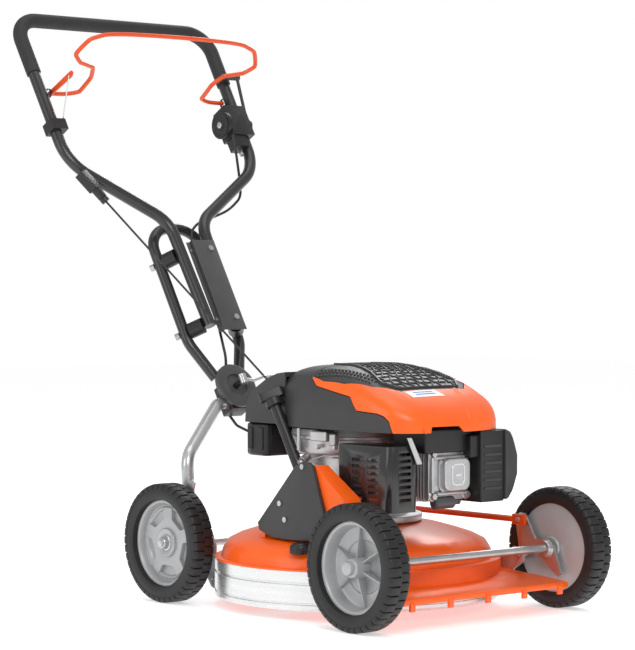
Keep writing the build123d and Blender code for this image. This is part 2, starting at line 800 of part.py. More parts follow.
def handle_bolts():
    """The plate's screws and the buffers' bolt heads."""
    loop = mid_frame()
    pieces = []
    for v in BUFFER_V:
        pieces.append(local_rod((-15.5, v + 3, 34.2), (-15.5, v + 3, 36.5), 2.9))
        pieces.append(local_rod((24, v + 3, 43.1), (24, v + 3, 46.5), 5.5))
        for side in (-1, 1):
            start, _ = buffer_line(side, v, 0, -MID_R - 0.3)
            end, _ = buffer_line(side, v, 0, -MID_R - 8)
            pieces.append(local_rod(start, end, 6.5) - loop)
    return pieces


write("mid_frame", mid_frame())
write("upper_handle", upper_handle())
write("foam_grip", foam_grip())
write("buffers", *buffers())
write("handle_plate", handle_plate())
write("handle_bolts", *handle_bolts())


# ---------------------------------------------------------------- controls

def side_leg(side):
    """The straight side of the upper handle, a hair larger, to cut a clamp's saddle with."""
    low, high = SHOULDER_V + 10, 645
    start = (side * side_leg_u(low), low, UPPER_W)
    return local_rod(start, (side * side_leg_u(high), high, UPPER_W), TUBE_R + 0.02)


def control_box():
    """The housing of the speed control on the left leg, with its round face and its lever's pin."""
    body = local_block(186, 237, 524, 590, 10, 48)
    body += local_block(189, 216, 500, 524.5, 16, 44)
    body += local_rod((187, 556, 28), (178, 556, 28), DIAL_R)
    body -= side_leg(1)
    body += local_rod((236.5, 556, 30), (241, 556, 30), 14)
    body += local_rod((240, 556, 30), (248, 556, 30), 5)
    return body + local_rod((247.6, 556, 30), (250, 556, 30), 8)


def control_lever():
    """The lever on the outside of the control, with its T-shaped end in front of the handle."""
    hub = local_rod((241.1, 556, 30), (247.4, 556, 30), 12)
    arm = tube([tuple(on_handle(244.3, 562, 32)), tuple(on_handle(244.3, 640, 48)), tuple(on_handle(244.3, 655, 51))],
               [30], 3.1)
    top = local_rod((206, 655, 51), (248, 655, 51), 6)
    return hub + arm + top - local_rod((238, 556, 30), (252, 556, 30), 5.06)


def bail():
    """The orange wire that is held against the grip, with the flat ear that pulls its cable."""
    half = [
        (205, BAIL_V, BAIL_W), (146, BAIL_V, BAIL_W), (142, 607, 54), (142, 614, 103),
        (170, 612, 118), (206, 613, 126), (213, 622, 156), (170, 638, 186),
    ]
    right = [tuple(on_handle(-u, v, w)) for u, v, w in half]
    left = [tuple(on_handle(u, v, w)) for u, v, w in reversed(half)]
    radii = [11, 18, 12, 14, 10, 14, 18]
    wire = tube(right + left, radii + radii[::-1], BAIL_R)
    ear = local_block(-203.5, -200.5, BAIL_V - 12, BAIL_V + 9, BAIL_W + 4.3, BAIL_W + 78)
    return wire, ear


def handle_clips():
    """The bail's pivot eyes, the cable clamp and the guide that parks the starter grip."""
    pieces = []
    for side in (-1, 1):
        eye = local_rod((side * 204.5, BAIL_V, BAIL_W), (side * 209, BAIL_V, BAIL_W), 9, BAIL_R + 4)
        pieces.append(eye)
    clamp = local_block(-236, -203, 520, 542, 16, 45)
    pieces.append(clamp - side_leg(-1))
    return pieces


write("control_box", control_box())
write("control_lever", control_lever())
write("bail", *bail())


# ---------------------------------------------------------------- starter rope and cable

def rope_guide():
    """The eye on the right leg that the starter rope runs through."""
    start = ROPE_GUIDE + rope_dir * 4
    end = ROPE_GUIDE - rope_dir * 4
    eye = rod(tuple(end), tuple(start), 8, ROPE_R + 0.3)
    arm = tube([tuple(on_handle(-188.5, 359.5, 56)), tuple(on_handle(-172, 374, 42)),
                tuple(on_handle(-176, 415, 31))], [12], 3)
    return eye + (arm - upper_handle() - rod(tuple(end), tuple(start), 7))


def rope_upper():
    """The starter rope from its guide down to the handle's swing axis, hollow for the pulled part."""
    return rod(tuple(ROPE_GUIDE + rope_dir * 4.2), tuple(ROPE_TURN), ROPE_R, PULL_ROPE_R + 0.1)


def rope_lower():
    """The short end of the starter rope, from the swing axis through its eye to the engine."""
    points = [tuple(ROPE_TURN + rope_dir * 0.2), tuple(ROPE_EXIT), *ROPE_END]
    return tube(points, [8, 20], ROPE_R)


def pull_rope():
    """The part of the rope that comes out through the guide with the grip."""
    start = ROPE_GUIDE - rope_dir * 7
    return rod(tuple(start), tuple(start + rope_dir * (GRIP_TRAVEL + 30)), PULL_ROPE_R)


def starter_grip():
    """The moulded starter grip, parked at the guide, with a pocket in its square end."""
    nose = ROPE_GUIDE - rope_dir * 5
    neck = nose - rope_dir * 20
    body = rod(tuple(nose), tuple(neck), 8, PULL_ROPE_R)
    square = Plane(origin=tuple(neck), x_dir=(0.83, 0.5, 0.2), z_dir=rope_dir * -1)
    body += extrude(square * RectangleRounded(26, 18, 4), amount=40)
    return body - extrude(square.offset(26) * RectangleRounded(20, 12, 2), amount=20)


CABLE_UPPER = [
    (177, 518, 52), (178, 482, 40), (194, 442, 6), (185, 408, 2), (143, 378, 2), (97, 361, 3),
    (55, 348, 3), (29, 327, 3.5), (18, 296, 8), (8, 240, 20), (4, 170, 22), (9, 106, 4),
    (8, 52, -5), (2, 18, -36), (0, -2, -40),
]


def cable_upper():
    """The control cable from the box, behind the left leg and down between the legs."""
    points = [tuple(on_handle(*point)) for point in CABLE_UPPER]
    return tube(points, corner_radii(points), CABLE_R)


CABLE_LOWER = [
    tuple(on_handle(0, -3.2, -40.1)), tuple(on_handle(0, -30, -42)), (6, 590, 290), (24, 552, 272),
    (54, 508, 270), (80, 462, 274), (88, 410, 280), (94, 366, 284), (98, 326, 286),
]


def cable_lower():
    """The control cable's lower end, from the handle joint to the engine."""
    return tube(CABLE_LOWER, corner_radii(CABLE_LOWER), CABLE_R)


write("handle_clips", *handle_clips(), rope_guide())
write("rope_upper", rope_upper())
write("rope_lower", rope_lower())
write("pull_rope", pull_rope())
write("starter_grip", starter_grip())
write("cable_upper", cable_upper())
write("cable_lower", cable_lower())
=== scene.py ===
import bmesh
import bpy
import json
import math
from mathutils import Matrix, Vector


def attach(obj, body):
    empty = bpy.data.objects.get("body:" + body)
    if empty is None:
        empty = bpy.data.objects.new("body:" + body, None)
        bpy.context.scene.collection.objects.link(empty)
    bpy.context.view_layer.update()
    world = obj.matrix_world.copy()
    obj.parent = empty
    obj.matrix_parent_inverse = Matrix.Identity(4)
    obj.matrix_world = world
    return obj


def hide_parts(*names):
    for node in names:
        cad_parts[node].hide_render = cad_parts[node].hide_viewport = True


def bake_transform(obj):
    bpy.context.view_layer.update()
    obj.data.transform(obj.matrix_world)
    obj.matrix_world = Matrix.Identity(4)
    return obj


# Walk-behind mower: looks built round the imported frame. Design dimensions are in millimetres,
# measured from a point on the ground under the front axle, as in the part's own source.
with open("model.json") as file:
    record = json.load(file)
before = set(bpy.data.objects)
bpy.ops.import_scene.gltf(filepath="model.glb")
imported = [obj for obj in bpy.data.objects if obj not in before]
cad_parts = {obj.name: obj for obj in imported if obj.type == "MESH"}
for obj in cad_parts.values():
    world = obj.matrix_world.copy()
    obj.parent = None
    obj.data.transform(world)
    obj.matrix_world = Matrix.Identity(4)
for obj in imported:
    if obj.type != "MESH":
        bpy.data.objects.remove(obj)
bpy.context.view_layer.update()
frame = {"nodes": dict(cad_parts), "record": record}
nodes = frame["nodes"]
FRAME_SHIFT = 435.2
LEAN = math.radians(30.86)
REAR_AXLE_Y = 487
HALF_TRACK = 230
WHEEL_Z = 102.5


def at(x, y, z):
    """A point of the design frame, as a place in the scene."""
    return Vector((x / 1000, (y - FRAME_SHIFT) / 1000, z / 1000))


def on_handle(u, v, w=0.0):
    """A point given across, up along and in front of the handle's plane."""
    s, c = math.sin(LEAN), math.cos(LEAN)
    return at(u, 589 + s * v - c * w, 360 + c * v + s * w)


# ---------------------------------------------------------------- materials

def node(tree, kind, **inputs):
    """A shader node with some of its sockets set."""
    made = tree.nodes.new(kind)
    for key, value in inputs.items():
        made.inputs[key.replace("_", " ")].default_value = value
    return made


def surface(name, base, other, rough, metal=0.0, grain=400.0, bump=0.15, spread=0.12, patch=25.0,
            coat=0.0, stretch=(1, 1, 1), distance=0.0004):
    """A procedural material: two close colours in soft patches, and a fine grain in gloss and relief."""
    made = bpy.data.materials.new(name)
    made.use_nodes = True
    tree = made.node_tree
    shader = tree.nodes["Principled BSDF"]
    shader.inputs["Metallic"].default_value = metal
    shader.inputs["Coat Weight"].default_value = coat
    shader.inputs["Coat Roughness"].default_value = 0.12
    place = tree.nodes.new("ShaderNodeTexCoord")
    mapping = node(tree, "ShaderNodeMapping", Scale=stretch)
    tree.links.new(place.outputs["Object"], mapping.inputs["Vector"])
    patches = node(tree, "ShaderNodeTexNoise", Scale=patch, Detail=4.0, Roughness=0.6)
    grains = node(tree, "ShaderNodeTexNoise", Scale=grain, Detail=3.0, Roughness=0.55)
    for texture in (patches, grains):
        tree.links.new(mapping.outputs["Vector"], texture.inputs["Vector"])
    ramp = tree.nodes.new("ShaderNodeValToRGB")
    ramp.color_ramp.elements[0].position = 0.3
    ramp.color_ramp.elements[1].position = 0.7
    ramp.color_ramp.elements[0].color = (*base, 1)
    ramp.color_ramp.elements[1].color = (*other, 1)
    tree.links.new(patches.outputs["Fac"], ramp.inputs["Fac"])
    tree.links.new(ramp.outputs["Color"], shader.inputs["Base Color"])
    gloss = tree.nodes.new("ShaderNodeMapRange")
    gloss.inputs["To Min"].default_value = max(0.03, rough - spread / 2)
    gloss.inputs["To Max"].default_value = rough + spread / 2
    tree.links.new(grains.outputs["Fac"], gloss.inputs["Value"])
    tree.links.new(gloss.outputs["Result"], shader.inputs["Roughness"])
    relief = node(tree, "ShaderNodeBump", Strength=bump, Distance=distance)
    tree.links.new(grains.outputs["Fac"], relief.inputs["Height"])
    tree.links.new(relief.outputs["Normal"], shader.inputs["Normal"])
    return made


ORANGE = surface("orange moulding", (1.0, 0.115, 0.001), (1.0, 0.13, 0.002), 0.36, grain=900, bump=0.05,
                 coat=0.12)
ORANGE_PAINT = surface("orange paint", (0.72, 0.066, 0.002), (0.78, 0.078, 0.002), 0.34, grain=700,
                       bump=0.05, coat=0.15)
DARK = surface("dark grey moulding", (0.033, 0.033, 0.035), (0.04, 0.04, 0.042), 0.46, grain=1400, bump=0.12)
BLACK = surface("black moulding", (0.01, 0.01, 0.01), (0.016, 0.016, 0.016), 0.4, grain=1200, bump=0.12)
BLACK_PAINT = surface("black enamel", (0.01, 0.01, 0.011), (0.015, 0.015, 0.016), 0.26, grain=800,
                      bump=0.04, coat=0.4)
TUBE_PAINT = surface("tube powder coat", (0.019, 0.019, 0.02), (0.024, 0.024, 0.025), 0.3, grain=1500,
                     bump=0.03, coat=0.2)
GREY_PAINT = surface("grey enamel", (0.06, 0.06, 0.062), (0.07, 0.07, 0.072), 0.42, grain=900, bump=0.05,
                     coat=0.1)
RUBBER = surface("tyre rubber", (0.006, 0.006, 0.006), (0.011, 0.011, 0.011), 0.5, grain=900, bump=0.16,
                 spread=0.2)
FOAM = surface("grip foam", (0.017, 0.017, 0.018), (0.023, 0.023, 0.024), 0.65, grain=2200, bump=0.25,
               distance=0.0004)
RIM_GREY = surface("rim moulding", (0.4, 0.405, 0.41), (0.45, 0.455, 0.46), 0.36, metal=0.25, grain=1100,
                   bump=0.05, coat=0.15)
ALUMINIUM = surface("cast aluminium", (0.5, 0.5, 0.51), (0.62, 0.62, 0.63), 0.42, metal=0.85, grain=700,
                    bump=0.35)
BRIGHT = surface("polished steel", (0.66, 0.66, 0.67), (0.78, 0.78, 0.79), 0.22, metal=1.0, grain=500,
                 bump=0.05)
ZINC = surface("zinc plated steel", (0.48, 0.48, 0.49), (0.6, 0.6, 0.6), 0.32, metal=0.9, grain=500,
               bump=0.1)
SILVER = surface("silver lacquer", (0.55, 0.56, 0.57), (0.6, 0.605, 0.61), 0.3, metal=0.75, grain=1500,
                 bump=0.02, coat=0.2)
RING = surface("turned aluminium", (0.7, 0.705, 0.71), (0.78, 0.785, 0.79), 0.28, metal=0.85, grain=90,
               bump=0.012,
               patch=6, stretch=(1, 1, 14))
IRON = surface("cast iron", (0.06, 0.06, 0.06), (0.09, 0.088, 0.085), 0.6, metal=0.5, grain=350, bump=0.6)
ROPE = surface("woven rope", (0.02, 0.02, 0.02), (0.06, 0.06, 0.06), 0.8, grain=2500, bump=0.9,
               distance=0.0006)
LABEL = surface("blank label", (0.78, 0.8, 0.83), (0.84, 0.85, 0.86), 0.4, grain=600, bump=0.02)
LABEL_INK = surface("label bars", (0.05, 0.2, 0.5), (0.08, 0.24, 0.55), 0.4, grain=600, bump=0.02)

node_materials = {
    "orange_plastic": ORANGE, "orange_paint": ORANGE_PAINT, "dark_plastic": DARK, "black_plastic": BLACK,
    "light_plastic": RIM_GREY, "silver_paint": SILVER, "dark_paint": TUBE_PAINT, "grey_paint": GREY_PAINT,
    "aluminium": ALUMINIUM, "ring_metal": RING, "steel": ZINC, "iron": IRON, "tyre": RUBBER, "rubber": BLACK,
    "foam": FOAM, "rope": ROPE, "guard_paint": BLACK_PAINT,
}
slot_of = {p["node"]: p["material_slot"] for p in frame["record"]["subparts"]}
for name, cad in nodes.items():
    cad.data.materials.clear()
    cad.data.materials.append(node_materials[slot_of[name]])


# ---------------------------------------------------------------- mesh helpers

def piece(name, mesh, body, material, replaces=(), bevel=0.0, segments=2):
    """A finished piece: its mesh, its material, the body it rides on and what it stands for."""
    made = bpy.data.objects.new(name, mesh)
    bpy.context.scene.collection.objects.link(made)
    mesh.materials.append(material)
    for face in mesh.polygons:
        face.use_smooth = True
    if bevel:
        edge = made.modifiers.new("bevel", "BEVEL")
        edge.width = bevel / 1000
        edge.segments = segments
        edge.limit_method = "ANGLE"
        edge.angle_limit = math.radians(32)
        edge.harden_normals = True
    else:
        mesh.set_sharp_from_angle(angle=math.radians(38))
    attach(made, body)
    if replaces:
        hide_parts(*replaces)
    return made


def to_mesh(name, work):
    """A mesh from a bmesh, with its normals pointing out."""
    bmesh.ops.recalc_face_normals(work, faces=work.faces)
    mesh = bpy.data.meshes.new(name)
    work.to_mesh(mesh)
    work.free()
    return mesh


def add_grid(work, rows, close_rows=False, close_columns=False):
    """Faces over a grid of points, given as a list of rows."""
    made = [[work.verts.new(p) for p in row] for row in rows]
    row_count, column_count = len(made), len(made[0])
    for i in range(row_count if close_rows else row_count - 1):
        for j in range(column_count if close_columns else column_count - 1):
            a, b = made[i], made[(i + 1) % row_count]
            k = (j + 1) % column_count
            work.faces.new((a[j], a[k], b[k], b[j]))
    return made


def add_prism(work, low, high):
    """A solid between two outlines with the same number of points."""
    a = [work.verts.new(p) for p in low]
    b = [work.verts.new(p) for p in high]
    count = len(a)
    work.faces.new(a)
    work.faces.new(b[::-1])
    for i in range(count):
        k = (i + 1) % count
        work.faces.new((a[i], b[i], b[k], a[k]))


def add_box(work, x0, x1, y0, y1, z0, z1):
    """A box between two corners of the design frame."""
    low = [at(x0, y0, z0), at(x1, y0, z0), at(x1, y1, z0), at(x0, y1, z0)]
    high = [at(x0, y0, z1), at(x1, y0, z1), at(x1, y1, z1), at(x0, y1, z1)]
    add_prism(work, low, high)


def frame_of(direction):
    """Two directions across a line, and the line's own."""
    along = Vector(direction).normalized()
    side = along.cross(Vector((0, 0, 1)))
    if side.length < 0.01:
        side = along.cross(Vector((1, 0, 0)))
    side.normalize()
    return side, along.cross(side).normalized(), along


def add_lathe(work, origin, direction, profile, segments=48):
    """A turned solid: its profile is (distance along, radius) in millimetres, both ends on the axis."""
    side, up, along = frame_of(direction)
    rows = []
    for i in range(segments):
        angle = 2 * math.pi * i / segments
        out = side * math.cos(angle) + up * math.sin(angle)
        rows.append([origin + along * (d / 1000) + out * (r / 1000) for d, r in profile])
    add_grid(work, rows, close_rows=True)
    bmesh.ops.remove_doubles(work, verts=work.verts, dist=1e-6)


def add_cylinder(work, start, end, radius, segments=32, chamfer=0.6):
    """A round pin between two places, with a small chamfer at its ends."""
    length = (end - start).length * 1000
    c = min(chamfer, radius * 0.4, length * 0.4)
    profile = [(0, 0), (0, radius - c), (c, radius), (length - c, radius), (length, radius - c), (length, 0)]
    add_lathe(work, start, end - start, profile, segments)


def add_hex(work, start, end, radius):
    """A hexagon bolt head, chamfered at its outer end."""
    length = (end - start).length * 1000
    profile = [(0, 0), (0, radius * 1.02), (length * 0.8, radius * 1.02), (length, radius * 0.85),
               (length, 0)]
    add_lathe(work, start, end - start, profile, 6)


def rounded_path(points, radii, step=0.16):
    """Straight runs joined by arcs, as a list of points."""
    made = [points[0]]
    for i in range(1, len(points) - 1):
        before, here, after = points[i - 1], points[i], points[i + 1]
        a, b = (before - here).normalized(), (after - here).normalized()
        turn = math.pi - a.angle(b)
        radius = radii[i - 1] / 1000
        cut = radius * math.tan(turn / 2)
        centre = here + (a + b).normalized() * (radius / math.cos(turn / 2))
        start, end = here + a * cut, here + b * cut
        count = max(2, int(turn / step))
        p, q = start - centre, end - centre
        for k in range(count + 1):
            t = k / count
            angle = turn * t
            arm = (p * math.sin(turn - angle) + q * math.sin(angle)) / math.sin(turn)
            made.append(centre + arm)
    made.append(points[-1])
    return made


def rounded_outline(x0, x1, z0, z1, radius, steps=6):
    """A rectangle with round corners, as a list of points."""
    made = []
    for cx, cz, start in ((x1 - radius, z1 - radius, 0), (x0 + radius, z1 - radius, 90),
                          (x0 + radius, z0 + radius, 180), (x1 - radius, z0 + radius, 270)):
        for k in range(steps + 1):
            angle = math.radians(start + 90 * k / steps)
            made.append((cx + radius * math.cos(angle), cz + radius * math.sin(angle)))
    return made


def add_tube(work, path, radius, segments=20):
    """A round tube along a path of points, closed flat at each end."""
    side, up, along = frame_of(path[1] - path[0])
    rows = []
    for i, here in enumerate(path):
        if 0 < i < len(path) - 1:
            ahead = (path[i + 1] - path[i - 1]).normalized()
        else:
            ahead = (path[-1] - path[-2] if i else path[1] - path[0]).normalized()
        turn = along.rotation_difference(ahead)
        side, along = turn @ side, ahead
        up = along.cross(side)
        size = radius / 1000
        ring = []
        for k in range(segments):
            angle = 2 * math.pi * k / segments
            ring.append(here + (side * math.cos(angle) + up * math.sin(angle)) * size)
        rows.append(ring)
    made = add_grid(work, rows, close_columns=True)
    work.faces.new(made[0][::-1])
    work.faces.new(made[-1])


def add_outline(work, outline, place, low, high):
    """A plate from a flat outline: place(a, b, depth) gives each corner."""
    add_prism(work, [place(a, b, low) for a, b in outline], [place(a, b, high) for a, b in outline])


def along_x(y, z, x):
    """A point of a side outline, at a depth across."""
    return at(x, y, z)


def along_y(x, z, y):
    """A point of a front outline, at a depth along."""
    return at(x, y, z)


def along_z(x, y, z):
    """A point of a plan outline, at a height."""
    return at(x, y, z)


def cut(target, cutter, mode="DIFFERENCE"):
    """A boolean cut, applied to the target's mesh; the cutter is removed."""
    change = target.modifiers.new("cut", "BOOLEAN")
    change.operation = mode
    change.solver = "EXACT"
    change.object = cutter
    graph = bpy.context.evaluated_depsgraph_get()
    result = bpy.data.meshes.new_from_object(target.evaluated_get(graph))
    target.modifiers.clear()
    target.data = result
    bpy.data.objects.remove(cutter)
    return target


def raw(name, work):
    """A bare object for boolean work, not yet a piece."""
    made = bpy.data.objects.new(name, to_mesh(name, work))
    bpy.context.scene.collection.objects.link(made)
    return made


def cut_piece(shape, material, replaces, bevel, segments=2):
    """A finished piece on the chassis from an object that boolean cuts have shaped."""
    name, mesh = shape.name, shape.data
    bpy.data.objects.remove(shape)
    piece(name, mesh, "chassis", material, replaces, bevel, segments)


def soften(name, body, material, width, segments):
    """A CAD node's own shape with its edges rounded, standing for that node."""
    work = bmesh.new()
    work.from_mesh(nodes[name].data)
    bmesh.ops.remove_doubles(work, verts=work.verts, dist=2e-6)
    flat = math.radians(1.0)
    bmesh.ops.dissolve_limit(work, angle_limit=flat, verts=work.verts, edges=work.edges)
    piece(name + "_skin", to_mesh(name, work), body, material, (name,), width, segments)


def add_ring(work, origin, direction, profile, segments=96):
    """A turned ring: a closed profile of (distance along, radius) in millimetres."""
    side, up, along = frame_of(direction)
    rows = []
    for i in range(segments):
        angle = 2 * math.pi * i / segments
        out = side * math.cos(angle) + up * math.sin(angle)
        rows.append([origin + along * (d / 1000) + out * (r / 1000) for d, r in profile])
    add_grid(work, rows, close_rows=True, close_columns=True)


def wheel_point(side, y, out, radius, angle):
    """A point of a wheel: its distance from the machine's middle, its radius and its angle."""
    return at(side * out, y + radius * math.cos(angle), WHEEL_Z + radius * math.sin(angle))


# ---------------------------------------------------------------- wheels

TREAD_BLOCKS = 42


def build_tyre(name, side, y, body):
    """A tyre with bulging walls and two rows of staggered tread blocks that wrap over its shoulders."""
    work = bmesh.new()
    centre = at(side * HALF_TRACK, y, WHEEL_Z)
    carcass = [
        (-19, 74.9), (-20.4, 77), (-20.9, 86), (-20.6, 94), (-19.2, 97.4), (-16, 98.8), (0, 99.2),
        (16, 98.8), (19.2, 97.4), (20.6, 94), (20.9, 86), (20.6, 78), (19.6, 75.6), (15, 74.9),
    ]
    add_ring(work, centre, (side, 0, 0), carcass, 126)
    pitch = 2 * math.pi / TREAD_BLOCKS
    for row in (-1, 1):
        section = [
            (-1.2, 98), (-1.2, 101.9), (0.4, 102.45), (15.6, 102.3), (18.6, 101.2), (20.9, 98.6),
            (21.3, 93.6),
            (20.2, 92.8), (17, 95),
        ]
        for index in range(TREAD_BLOCKS):
            start = (index + (0.0 if row < 0 else 0.42)) * pitch
            rows = []
            for step, drop in ((0.0, 0.9), (0.06, 0), (0.44, 0), (0.82, 0), (0.88, 0.9)):
                angle = start + step * pitch
                rows.append([wheel_point(side, y, HALF_TRACK + row * d, r - drop if r > 96 else r, angle)
                             for d, r in section])
            made = add_grid(work, rows, close_columns=True)
            work.faces.new(made[0][::-1])
            work.faces.new(made[-1])
    piece(name, to_mesh(name, work), body, RUBBER, (f"tyre_{body[6:]}",))


def build_front_rim(name, side, y, body):
    """The deep-dished front rim: a lip, a barrel, a stepped floor, thin webs and a long hub."""
    work = bmesh.new()
    middle = at(0, y, WHEEL_Z)
    profile = [
        (212, 75), (239.5, 75), (241.2, 74.2), (241.6, 72), (241, 69), (239, 67.6), (225, 66), (219, 64.5),
        (217, 61), (216.6, 44), (214.4, 42), (213.6, 30), (213.6, 22), (215, 18.2), (218, 17.2),
        (243.8, 15.2),
        (245, 14), (245, 7), (208, 7), (208, 17), (210, 19), (210, 60), (212, 66),
    ]
    add_ring(work, middle, (side, 0, 0), profile, 96)
    for index in range(6):
        angle = math.radians(25 + 60 * index)
        rows = []
        for radius, top in ((14, 232), (30, 229), (48, 224), (66, 221)):
            half = 1.3 / radius
            rows.append([
                wheel_point(side, y, 213, radius, angle - half),
                wheel_point(side, y, top, radius, angle - half),
                wheel_point(side, y, top, radius, angle + half),
                wheel_point(side, y, 213, radius, angle + half),
            ])
        made = add_grid(work, rows, close_columns=True)
        work.faces.new(made[0][::-1])
        work.faces.new(made[-1])
    piece(name, to_mesh(name, work), body, RIM_GREY, (f"rim_{body[6:]}",), bevel=0.7)
    work = bmesh.new()
    add_lathe(work, at(side * 243, y, WHEEL_Z), (side, 0, 0),
              [(0, 0), (0, 12.6), (2, 12.8), (3, 11.4), (10, 11.2), (11.6, 10.2), (12, 8), (12.2, 0)], 48)
    piece(name + "_cap", to_mesh(name + "_cap", work), body, RIM_GREY)


def build_rear_rim(name, side, y, body):
    """The rear rim: a lip, a ring groove, a shallow face with five raised spokes, and a round boss."""
    work = bmesh.new()
    middle = at(0, y, WHEEL_Z)
    profile = [
        (212, 75), (239.5, 75), (241.2, 74.2), (241.6, 72), (241, 69.5), (238, 68), (229, 66.5), (227, 64.5),
        (227.4, 62.5), (230, 61.6), (230.4, 60), (229.4, 58.4), (224.6, 56), (224.6, 27), (231, 25.5),
        (236, 24.8),
        (237, 23.6), (236.4, 16), (235, 14), (235, 7), (208, 7), (208, 17), (222, 20), (222, 60), (212, 66),
    ]
    add_ring(work, middle, (side, 0, 0), profile, 96)
    star = []
    for index in range(5):
        centre = math.radians(90 + 72 * index)
        for angle, radius in ((-0.36, 41), (-0.27, 43), (-0.2, 60.6), (0.0, 61.2), (0.2, 60.6), (0.27, 43),
                              (0.36, 41)):
            star.append((radius, centre + angle))
    low = [wheel_point(side, y, 223.5, r, a) for r, a in star]
    high = [wheel_point(side, y, 232.2, r * 0.995, a) for r, a in star]
    add_prism(work, low, high)
    piece(name, to_mesh(name, work), body, RIM_GREY, (f"rim_{body[6:]}",), bevel=0.8)
    work = bmesh.new()
    start = at(side * 234.5, y, WHEEL_Z)
    add_lathe(work, start, (side, 0, 0),
              [(0, 0), (0, 13.6), (1.4, 13.6), (2, 12.6), (2.4, 10.8), (9, 10.4), (11, 9.2), (11.6, 6),
               (11.8, 0)], 48)
    piece(name + "_nut", to_mesh(name + "_nut", work), body, ZINC)


wheels = (("front_right", -1, 0), ("front_left", 1, 0), ("rear_right", -1, REAR_AXLE_Y),
          ("rear_left", 1, REAR_AXLE_Y))
for wheel_name, side, y in wheels:
    body = "wheel_" + wheel_name
    build_tyre("tread_" + wheel_name, side, y, body)
    if y == 0:
        build_front_rim("dish_" + wheel_name, side, y, body)
    else:
        build_rear_rim("spokes_" + wheel_name, side, y, body)


# ---------------------------------------------------------------- engine hood

HOOD_BASE = 307.0
HOOD_MIDDLE = 190
HOOD_BACK = 392
HOOD_ROUND = 4.6


def lookup(table, value):
    """Straight-line lookup in a list of (input, output) pairs."""
    if value <= table[0][0]:
        return table[0][1]
    for (a, p), (b, q) in zip(table, table[1:]):
        if value <= b:
            return p + (q - p) * (value - a) / (b - a)
    return table[-1][1]


hood_widths = [(1, 0), (3, 26), (6, 52), (12, 80), (24, 100), (44, 117), (80, 125), (120, 128), (250, 128),
               (280, 124), (310, 116), (336, 106), (360, 88), (376, 66), (388, 30), (392, 0)]
hood_tops = [(-10, 330), (2, 338), (14, 347), (26, 354), (50, 366), (80, 379), (115, 392), (150, 402),
             (180, 408),
             (210, 411), (300, 411), (330, 409), (360, 404), (400, 392)]


def edge_point(turn):
    """A point of the hood's plan outline, by its angle round the middle."""
    direction = (math.cos(turn), math.sin(turn))
    low, high = 0.0, 260.0
    for _ in range(24):
        mid = (low + high) / 2
        x, y = direction[0] * mid, HOOD_MIDDLE + direction[1] * mid
        if 1 < y < HOOD_BACK and abs(x) < lookup(hood_widths, y):
            low = mid
        else:
            high = mid
    return direction[0] * low, direction[1] * low


def hood_skin(inset, base):
    """The hood as a closed form: a dome over its plan outline, flat on top and steep at its walls."""
    rings, turns = 30, 128
    work = bmesh.new()
    rows = []
    for i in range(turns):
        dx, dy = edge_point(2 * math.pi * i / turns)
        reach = math.hypot(dx, dy)
        shrink = (reach - inset) / reach
        row = []
        for j in range(rings + 1):
            t = j / rings
            rho = math.sin(t * math.pi / 2)
            x, y = dx * shrink * rho, HOOD_MIDDLE + dy * shrink * rho
            rise = max(0.0, 1 - rho ** HOOD_ROUND) ** (1 / HOOD_ROUND)
            top = lookup(hood_tops, y) - inset
            row.append(at(x, y, base + (top - base) * rise))
        rows.append(row)
    made = add_grid(work, rows, close_rows=True)
    bmesh.ops.remove_doubles(work, verts=work.verts, dist=1e-6)
    rim = [made[i][-1] for i in range(turns)]
    work.faces.new([v for v in rim if v.is_valid])
    return work


def side_prism(outline):
    """A cutter right across the hood, from its side outline."""
    work = bmesh.new()
    add_outline(work, outline, along_x, -150, 150)
    return raw("cutter", work)


def plan_prism(outline):
    """A cutter right through the hood, from its plan outline."""
    work = bmesh.new()
    add_outline(work, outline, along_z, 290, 430)
    return raw("cutter", work)


def hood_shell(name, outset=0.0):
    """The hood's wall as a shell, a little proud of its skin where outset says so."""
    shell = raw(name, hood_skin(-outset, HOOD_BASE))
    return cut(shell, raw("cutter", hood_skin(3.2 - outset, HOOD_BASE - 4)))


orange_side = [
    (-20, 290), (-20, 430), (250, 430), (238, 391), (220, 378.5), (134, 363.5), (122, 348), (116, 341.5),
    (72, 338.5),
    (58, 334), (48, 326), (40, 300), (38, 290),
]
gap_side = [
    (-20, 290), (-20, 430), (252, 430), (240, 389.5), (221, 377), (135, 362), (123, 346.5), (117, 340),
    (73, 337),
    (60, 332.5), (50, 325), (42, 300), (40, 290),
]
top_plan = [(-112, 250), (-119, 206), (-117, 157), (-104, 105), (-72, 72), (72, 72), (104, 105), (117, 157),
            (119, 206),
            (112, 250), (60, 300), (-60, 300)]
top_gap = [(-114, 252), (-120.5, 206), (-118.5, 156), (-105, 103.5), (-73, 70.5), (73, 70.5), (105, 103.5),
           (118.5, 156),
           (120.5, 206), (114, 252), (60, 302), (-60, 302)]

dark_hood = hood_shell("cowl_panels")
cut(dark_hood, side_prism(gap_side))
cut_piece(dark_hood, DARK, ("engine_cowl",), 1.0)

orange_hood = hood_shell("shroud_panels", 1.2)
cut(orange_hood, side_prism(orange_side), "INTERSECT")
cut(orange_hood, plan_prism(top_gap))
work = bmesh.new()
add_outline(work, [(-66, 290), (-62, 317), (-6, 317), (12, 300), (14, 290)], along_y, -20, 22)
cut(orange_hood, raw("cutter", work))
cut_piece(orange_hood, ORANGE, ("engine_shroud",), 1.1)

top_hood = hood_shell("top_panel", -0.6)
cut(top_hood, plan_prism(top_plan), "INTERSECT")
cut(top_hood, side_prism([(-20, 290), (-20, 430), (252, 430), (240, 389.5), (221, 300), (200, 290)]),
    "INTERSECT")
cut_piece(top_hood, DARK, ("vent_grille",), 0.8)


# ---------------------------------------------------------------- tank cover, tank and filler parts

